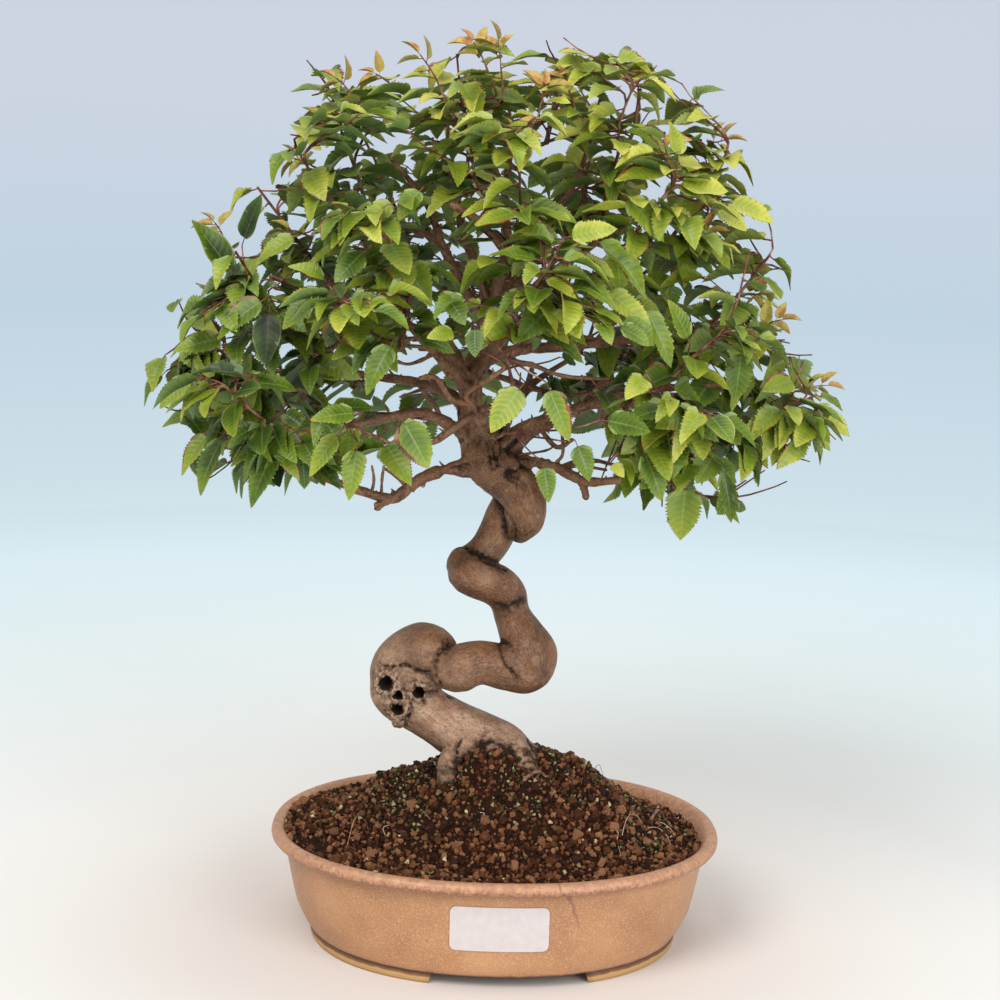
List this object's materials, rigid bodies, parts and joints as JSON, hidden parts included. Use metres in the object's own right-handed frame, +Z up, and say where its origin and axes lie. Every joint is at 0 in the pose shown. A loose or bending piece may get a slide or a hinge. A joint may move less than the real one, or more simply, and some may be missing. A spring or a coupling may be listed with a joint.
{
  "type": "potted bonsai tree",
  "caption": "Small deciduous bonsai with a coiled trunk and a dome of serrate leaves on fine shoots, in a low oval glazed pot filled with grainy soil.",
  "frame": {"origin": "middle of the whole part's box at the level of the pot's feet", "axes": "+Z up, +X to the viewer's right along the pot's length, +Y away from the viewer"},
  "size_m": [0.3584, 0.2718, 0.4694],
  "materials": {
    "glaze": "satin speckled glaze",
    "paper": "blank matte paper",
    "screen": "moulded mesh",
    "soil": "fired clay grains",
    "bark": "smooth muscular bark",
    "leaf": "satin leaf blade"
  },
  "bodies": {
    "root": {"pot": "glaze", "label": "paper", "screen_left": "screen", "screen_right": "screen", "soil": "soil", "trunk": "bark", "shoot_01": "leaf", "shoot_02": "leaf", "shoot_03": "leaf", "shoot_04": "leaf", "shoot_05": "leaf", "shoot_06": "leaf", "shoot_07": "leaf", "shoot_08": "leaf", "shoot_09": "leaf", "shoot_10": "leaf", "shoot_11": "leaf", "shoot_12": "leaf", "shoot_13": "leaf", "shoot_14": "leaf", "shoot_15": "leaf", "shoot_16": "leaf", "shoot_17": "leaf", "shoot_18": "leaf", "shoot_19": "leaf", "shoot_20": "leaf", "shoot_21": "leaf", "shoot_22": "leaf", "shoot_23": "leaf", "shoot_24": "leaf", "shoot_25": "leaf", "shoot_26": "leaf", "shoot_27": "leaf", "shoot_28": "leaf", "shoot_29": "leaf", "shoot_30": "leaf", "shoot_31": "leaf", "shoot_32": "leaf", "shoot_33": "leaf", "shoot_34": "leaf", "shoot_35": "leaf", "shoot_36": "leaf", "shoot_37": "leaf", "shoot_38": "leaf", "shoot_39": "leaf", "shoot_40": "leaf", "shoot_41": "leaf", "shoot_42": "leaf", "shoot_43": "leaf"}
  },
  "joints": []
}
